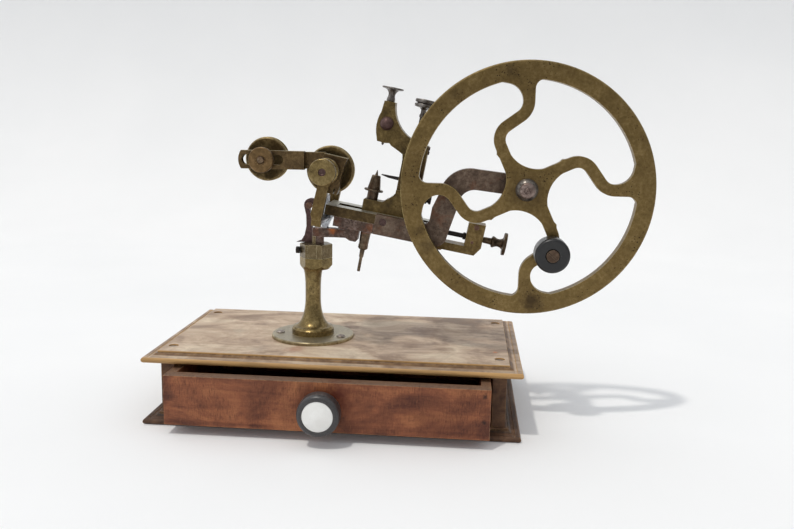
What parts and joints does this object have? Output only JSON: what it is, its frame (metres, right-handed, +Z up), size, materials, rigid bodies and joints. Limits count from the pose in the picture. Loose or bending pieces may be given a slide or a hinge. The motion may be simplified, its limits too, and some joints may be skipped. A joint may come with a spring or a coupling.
{
  "type": "watchmaker's wheel rounding-up tool",
  "caption": "Hand-cranked wheel rounding-up tool: a cord-driven cutter spindle and work runners on a tilted bed, on a brass pillar above a wooden case with a drawer.",
  "frame": {"origin": "middle of the underside of the bottom board", "axes": "+X to the right, towards the handwheel; +Y away from the user, the drawer opens towards -Y; +Z up"},
  "size_m": [0.3445, 0.1815, 0.2521],
  "materials": {
    "top_wood": "worn wax",
    "case_wood": "old varnish",
    "drawer_wood": "old varnish",
    "ebonised_wood": "polished black",
    "porcelain": "glazed",
    "old_brass": "aged, unpolished",
    "dark_steel": "browned with a little rust",
    "worn_steel": "dull bright steel"
  },
  "bodies": {
    "case": {"bottom_board": "case_wood", "left_panel": "case_wood", "right_panel": "case_wood", "back_panel": "case_wood", "top_board": "top_wood", "board_screws": "worn_steel", "pillar_flange": "old_brass", "flange_screws": "worn_steel", "pillar_column": "old_brass"},
    "drawer": {"drawer_front": "drawer_wood", "drawer_left_side": "drawer_wood", "drawer_right_side": "drawer_wood", "drawer_back": "drawer_wood", "drawer_floor": "drawer_wood", "knob_body": "ebonised_wood", "knob_disc": "porcelain"},
    "head": {"swivel_collar": "old_brass", "support_arm": "dark_steel", "bearing_post": "worn_steel", "rear_strut": "dark_steel", "bed": "old_brass", "bed_screws": "dark_steel", "goose_neck": "dark_steel", "goose_neck_screws": "worn_steel", "end_block": "old_brass", "end_block_screws": "dark_steel", "wheel_axle": "worn_steel", "hub_cap": "worn_steel", "axle_nut": "worn_steel"},
    "collar_screw": {"collar_screw": "dark_steel"},
    "wheel": {"handwheel": "old_brass", "crank_stud": "dark_steel"},
    "crank": {"crank_knob": "ebonised_wood"},
    "leadscrew": {"leadscrew": "dark_steel", "leadscrew_knob": "dark_steel"},
    "carriage": {"carriage": "old_brass", "keeper_plate": "old_brass", "carriage_screws": "dark_steel", "work_finger": "dark_steel", "lower_sleeve": "dark_steel"},
    "lower_runner": {"lower_runner": "worn_steel", "rest_disc": "dark_steel"},
    "upper_runner": {"upper_runner": "dark_steel", "upper_runner_button": "dark_steel"},
    "clamp_screw": {"runner_clamp_screw": "dark_steel"},
    "column_screw": {"column_screw": "worn_steel"},
    "side_screw": {"side_screw": "dark_steel"},
    "cutter_frame": {"front_upright": "old_brass", "rear_upright": "old_brass", "rocking_shaft": "worn_steel"},
    "spindle": {"cutter_spindle": "worn_steel", "spindle_knob": "old_brass", "drive_pulley": "old_brass", "cutter": "dark_steel", "cutter_nut": "worn_steel"},
    "tension_arm": {"tension_yoke": "old_brass", "slotted_bar": "old_brass"},
    "idler_post": {"idler_stud": "worn_steel"},
    "idler_nut": {"idler_nut": "old_brass"},
    "idler": {"idler_pulley": "old_brass"}
  },
  "joints": [
    {"name": "drawer_slide", "type": "slide", "parent": "case", "child": "drawer", "axis": [0, -1, 0], "range_m": [-0.026, 0.07]},
    {"name": "head_swivel", "type": "hinge", "parent": "case", "child": "head", "pos_m": [-0.0207, -0.01, 0.111], "axis": [0, 0, 1], "range_deg": [-90, 90]},
    {"name": "collar_screw_turn", "type": "hinge", "parent": "head", "child": "collar_screw", "pos_m": [-0.034, -0.01, 0.1158], "axis": [1, 0, 0], "range_deg": [-180, 180]},
    {"name": "handwheel_turn", "type": "hinge", "parent": "head", "child": "wheel", "pos_m": [0.12867, -0.036, 0.16634], "axis": [0, 1, 0], "continuous": true},
    {"name": "crank_knob_turn", "type": "hinge", "parent": "wheel", "child": "crank", "pos_m": [0.14626, -0.05, 0.12448], "axis": [0, 1, 0], "continuous": true},
    {"name": "leadscrew_turn", "type": "hinge", "parent": "head", "child": "leadscrew", "pos_m": [0.09066, -0.01, 0.12928], "axis": [-0.9848, 0, 0.1736], "range_deg": [0, 5400]},
    {"name": "carriage_slide", "type": "slide", "parent": "head", "child": "carriage", "axis": [0.9848, 0, -0.1736], "range_m": [0, 0.015]},
    {"name": "lower_runner_lift", "type": "slide", "parent": "carriage", "child": "lower_runner", "axis": [0.1736, 0, 0.9848], "range_m": [0, 0.003]},
    {"name": "upper_runner_lift", "type": "slide", "parent": "carriage", "child": "upper_runner", "axis": [0.1736, 0, 0.9848], "range_m": [0, 0.01]},
    {"name": "clamp_screw_turn", "type": "hinge", "parent": "carriage", "child": "clamp_screw", "pos_m": [0.03064, -0.018, 0.20871], "axis": [0, 1, 0], "range_deg": [-90, 90]},
    {"name": "column_screw_turn", "type": "hinge", "parent": "carriage", "child": "column_screw", "pos_m": [0.05445, -0.01, 0.20897], "axis": [0.1736, 0, 0.9848], "range_deg": [-180, 180]},
    {"name": "side_screw_turn", "type": "hinge", "parent": "carriage", "child": "side_screw", "pos_m": [0.05678, -0.01, 0.15596], "axis": [0.9848, 0, -0.1736], "range_deg": [-180, 180]},
    {"name": "cutter_frame_rock", "type": "hinge", "parent": "head", "child": "cutter_frame", "pos_m": [-0.01297, -0.01, 0.14166], "axis": [0, 1, 0], "range_deg": [-4, 10]},
    {"name": "spindle_turn", "type": "hinge", "parent": "cutter_frame", "child": "spindle", "pos_m": [-0.00568, -0.01, 0.17663], "axis": [0, 1, 0], "continuous": true},
    {"name": "tension_arm_swing", "type": "hinge", "parent": "cutter_frame", "child": "tension_arm", "pos_m": [-0.00568, -0.01, 0.17663], "axis": [0, 1, 0], "range_deg": [-15, 20]},
    {"name": "idler_adjust", "type": "slide", "parent": "tension_arm", "child": "idler_post", "axis": [1, 0, 0], "range_m": [-0.0105, 0.0095]},
    {"name": "idler_nut_turn", "type": "hinge", "parent": "idler_post", "child": "idler_nut", "pos_m": [-0.0498, -0.055, 0.1831], "axis": [0, 1, 0], "range_deg": [-90, 90]},
    {"name": "idler_turn", "type": "hinge", "parent": "idler_post", "child": "idler", "pos_m": [-0.0498, -0.036, 0.1831], "axis": [0, 1, 0], "continuous": true}
  ],
  "couplings": [
    {"joint": "leadscrew_turn", "follows": "carriage_slide", "rad_per_m": 6283.2}
  ]
}
